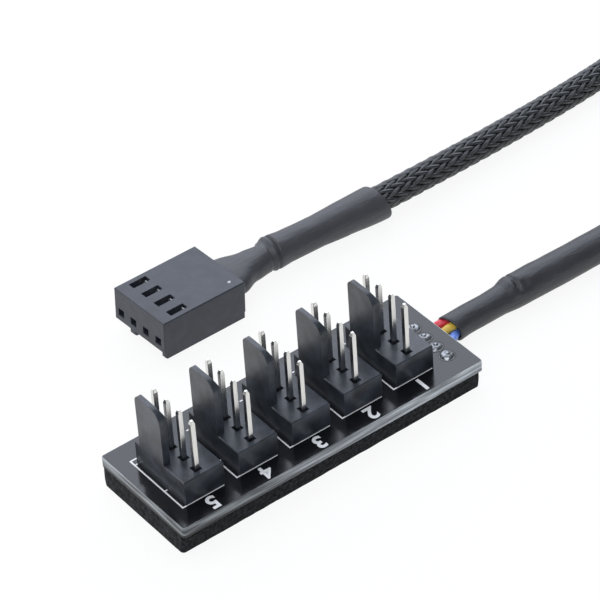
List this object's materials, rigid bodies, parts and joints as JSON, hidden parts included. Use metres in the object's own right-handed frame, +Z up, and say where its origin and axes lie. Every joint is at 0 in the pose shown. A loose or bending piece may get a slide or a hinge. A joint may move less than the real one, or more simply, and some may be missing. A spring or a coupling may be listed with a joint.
{
  "type": "pc fan hub",
  "caption": "Flat circuit-board fan hub on a foam pad: a row of upright keyed pin headers and a sleeved lead that ends in a matching socket connector.",
  "frame": {"origin": "under the middle of the board, level with the underside of the foam pad, where the hub rests", "axes": "+X along the row of headers towards the end where the lead leaves, +Y from the printed edge of the board to its back edge, +Z up"},
  "size_m": [0.17, 0.0494, 0.0165],
  "materials": {
    "board": "glossy black solder mask on glass fibre",
    "foam": "fine-grained closed-cell foam, matt",
    "header_plastic": "moulded, fine satin texture",
    "connector_plastic": "moulded, satin",
    "pin_metal": "bright tin plate",
    "terminal_metal": "bright tin plate",
    "solder": "bright solder",
    "wire_red": "smooth insulation",
    "wire_yellow": "smooth insulation",
    "wire_blue": "smooth insulation",
    "wire_black": "smooth insulation",
    "heat_shrink": "satin, slightly wrinkled",
    "braid": "braided flat plastic threads"
  },
  "bodies": {
    "root": {"circuit_board": "board", "foam_pad": "foam", "header_1_housing": "header_plastic", "header_1_solder": "solder", "header_1_pin_1": "pin_metal", "header_1_pin_2": "pin_metal", "header_1_pin_3": "pin_metal", "header_1_pin_4": "pin_metal", "header_2_housing": "header_plastic", "header_2_solder": "solder", "header_2_pin_1": "pin_metal", "header_2_pin_2": "pin_metal", "header_2_pin_3": "pin_metal", "header_2_pin_4": "pin_metal", "header_3_housing": "header_plastic", "header_3_solder": "solder", "header_3_pin_1": "pin_metal", "header_3_pin_2": "pin_metal", "header_3_pin_3": "pin_metal", "header_3_pin_4": "pin_metal", "header_4_housing": "header_plastic", "header_4_solder": "solder", "header_4_pin_1": "pin_metal", "header_4_pin_2": "pin_metal", "header_4_pin_3": "pin_metal", "header_4_pin_4": "pin_metal", "header_5_housing": "header_plastic", "header_5_solder": "solder", "header_5_pin_1": "pin_metal", "header_5_pin_2": "pin_metal", "header_5_pin_3": "pin_metal", "header_5_pin_4": "pin_metal", "wire_joint_1": "solder", "crimp_terminal_1": "terminal_metal", "wire_joint_2": "solder", "crimp_terminal_2": "terminal_metal", "wire_joint_3": "solder", "crimp_terminal_3": "terminal_metal", "wire_joint_4": "solder", "crimp_terminal_4": "terminal_metal", "wire_red": "wire_red", "wire_yellow": "wire_yellow", "wire_blue": "wire_blue", "wire_black": "wire_black", "board_end_heat_shrink": "heat_shrink", "connector_end_heat_shrink": "heat_shrink", "braided_sleeve": "braid", "connector_housing": "connector_plastic"}
  },
  "joints": []
}
